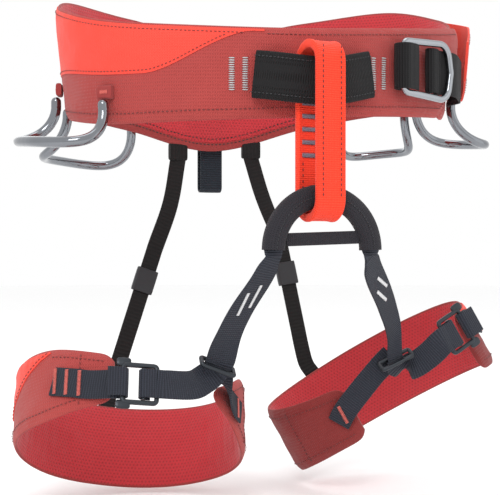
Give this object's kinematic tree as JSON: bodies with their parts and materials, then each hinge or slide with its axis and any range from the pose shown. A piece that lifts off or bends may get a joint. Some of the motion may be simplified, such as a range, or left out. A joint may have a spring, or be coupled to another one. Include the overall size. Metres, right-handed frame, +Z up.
{
  "type": "climbing sit harness",
  "caption": "Sit harness with a padded waist belt, belay loop, gear loops, a haul loop and two padded adjustable leg loops on elastic risers.",
  "frame": {"origin": "middle of the waist opening at the height of the front belt", "axes": "+Z up, the front of the harness faces -Y, +X is the side with the waist buckle"},
  "size_m": [0.4059, 0.2723, 0.3984],
  "materials": {
    "shell_fabric": "plain-woven nylon, matt",
    "pad_foam": "closed-cell foam, hidden inside the pads",
    "mesh_lining": "perforated mesh, matt",
    "edge_binding": "folded tape, matt",
    "accent_fabric": "fine ripstop, slight sheen",
    "black_webbing": "ribbed webbing, matt",
    "bartack_thread": "dense zigzag thread",
    "polished_metal": "polished",
    "buckle_bar": "turned",
    "haul_webbing": "ribbed webbing",
    "belay_webbing": "tight woven webbing",
    "arch_fabric": "fine woven sleeve",
    "leg_webbing": "ribbed webbing, slight sheen",
    "riser_elastic": "elastic tape",
    "black_plastic": "moulded",
    "dark_metal": "dark anodised"
  },
  "bodies": {
    "waistbelt": {"waist_shell": "shell_fabric", "waist_foam": "pad_foam", "waist_lining": "mesh_lining", "waist_binding": "edge_binding", "waist_webbing": "black_webbing", "hip_panel_left": "accent_fabric", "hip_panel_right": "accent_fabric", "tie_in_sleeve": "black_webbing", "tie_in_webbing": "black_webbing", "waist_bartacks": "bartack_thread", "waist_buckle_frame": "polished_metal", "buckle_anchor_loop": "black_webbing", "waist_strap": "black_webbing", "strap_cover": "shell_fabric", "haul_loop_tab": "shell_fabric", "gear_loop_tabs": "shell_fabric", "leg_tie_in_sleeve": "arch_fabric", "leg_tie_in_webbing": "leg_webbing", "cross_strap": "arch_fabric", "bridge_strap_left": "leg_webbing", "bridge_strap_right": "leg_webbing", "bridge_bartacks": "bartack_thread", "riser_tabs": "shell_fabric", "riser_upper_left": "riser_elastic", "riser_upper_right": "riser_elastic", "riser_lower_left": "riser_elastic", "riser_lower_right": "riser_elastic"},
    "belay": {"belay_loop": "belay_webbing", "belay_loop_bartacks": "bartack_thread"},
    "haul": {"haul_loop": "haul_webbing"},
    "waist_bar": {"waist_buckle_slider": "buckle_bar", "strap_wrap": "black_webbing"},
    "gear_front_left": {"gear_loop_front_left": "polished_metal"},
    "gear_rear_left": {"gear_loop_rear_left": "polished_metal"},
    "gear_front_right": {"gear_loop_front_right": "polished_metal"},
    "gear_rear_right": {"gear_loop_rear_right": "polished_metal"},
    "riser_slide_left": {"riser_slider_left": "black_plastic"},
    "leg_left": {"leg_shell_left": "shell_fabric", "leg_foam_left": "pad_foam", "leg_lining_left": "mesh_lining", "leg_accent_left": "accent_fabric", "leg_ring_left": "dark_metal", "ring_strap_left": "leg_webbing", "leg_strap_left": "leg_webbing", "leg_buckle_left": "dark_metal", "buckle_strap_left": "leg_webbing"},
    "leg_bar_left": {"leg_buckle_bar_left": "dark_metal", "leg_wrap_left": "leg_webbing"},
    "riser_slide_right": {"riser_slider_right": "black_plastic"},
    "leg_right": {"leg_shell_right": "shell_fabric", "leg_foam_right": "pad_foam", "leg_lining_right": "mesh_lining", "leg_accent_right": "accent_fabric", "leg_ring_right": "dark_metal", "ring_strap_right": "leg_webbing", "leg_strap_right": "leg_webbing", "leg_buckle_right": "dark_metal", "buckle_strap_right": "leg_webbing"},
    "leg_bar_right": {"leg_buckle_bar_right": "dark_metal", "leg_wrap_right": "leg_webbing"}
  },
  "joints": [
    {"name": "belay_turn", "type": "hinge", "parent": "waistbelt", "child": "belay", "pos_m": [-0.013, -0.1305, 0.0045], "axis": [0, 0, 1], "range_deg": [-15, 0]},
    {"name": "haul_swing", "type": "hinge", "parent": "waistbelt", "child": "haul", "pos_m": [0, 0.1137, -0.036], "axis": [1, 0, 0], "range_deg": [0, 35]},
    {"name": "gear_front_left_swing", "type": "hinge", "parent": "waistbelt", "child": "gear_front_left", "pos_m": [-0.14369, -0.05108, -0.0211], "axis": [-0.1902, 0.9739, 0.1235], "range_deg": [-5, 45], "stiffness_Nm_per_rad": 0.4},
    {"name": "gear_rear_left_swing", "type": "hinge", "parent": "waistbelt", "child": "gear_rear_left", "pos_m": [-0.14266, 0.05303, -0.01619], "axis": [0.8192, 0.5702, -0.0621], "range_deg": [-5, 45], "stiffness_Nm_per_rad": 0.4},
    {"name": "gear_front_right_swing", "type": "hinge", "parent": "waistbelt", "child": "gear_front_right", "pos_m": [0.15857, 0.02933, 0.0041], "axis": [0.0251, -0.9905, -0.1354], "range_deg": [-5, 45], "stiffness_Nm_per_rad": 0.4},
    {"name": "gear_rear_right_swing", "type": "hinge", "parent": "waistbelt", "child": "gear_rear_right", "pos_m": [0.11188, 0.08163, -0.0063], "axis": [0.6986, -0.7116, 0.0742], "range_deg": [-5, 45], "stiffness_Nm_per_rad": 0.4},
    {"name": "waist_bar_slide", "type": "slide", "parent": "waistbelt", "child": "waist_bar", "axis": [0.9407, 0.3392, 0], "range_m": [-0.0024, 0.0024], "deforming": ["strap_wrap"]},
    {"name": "riser_slide_left", "type": "slide", "parent": "waistbelt", "child": "riser_slide_left", "axis": [-0.3258, -0.0329, -0.9449], "range_m": [-0.012, 0.025]},
    {"name": "leg_swing_left", "type": "hinge", "parent": "waistbelt", "child": "leg_left", "pos_m": [-0.067, -0.076, -0.206], "axis": [0.9335, -0.012, -0.3583], "range_deg": [-20, 8], "stiffness_Nm_per_rad": 3, "deforming": ["riser_lower_left"]},
    {"name": "leg_bar_slide_left", "type": "slide", "parent": "leg_left", "child": "leg_bar_left", "axis": [-0.9788, 0.1809, 0.0964], "range_m": [-0.0016, 0.0016], "deforming": ["leg_wrap_left"]},
    {"name": "riser_slide_right", "type": "slide", "parent": "waistbelt", "child": "riser_slide_right", "axis": [0.1426, -0.1717, -0.9748], "range_m": [-0.012, 0.025]},
    {"name": "leg_swing_right", "type": "hinge", "parent": "waistbelt", "child": "leg_right", "pos_m": [0.086, -0.062, -0.208], "axis": [0.8726, -0.2397, 0.4255], "range_deg": [-20, 8], "stiffness_Nm_per_rad": 3, "deforming": ["riser_lower_right"]},
    {"name": "leg_bar_slide_right", "type": "slide", "parent": "leg_right", "child": "leg_bar_right", "axis": [0.8869, 0.2078, 0.4126], "range_m": [-0.0016, 0.0016], "deforming": ["leg_wrap_right"]}
  ]
}
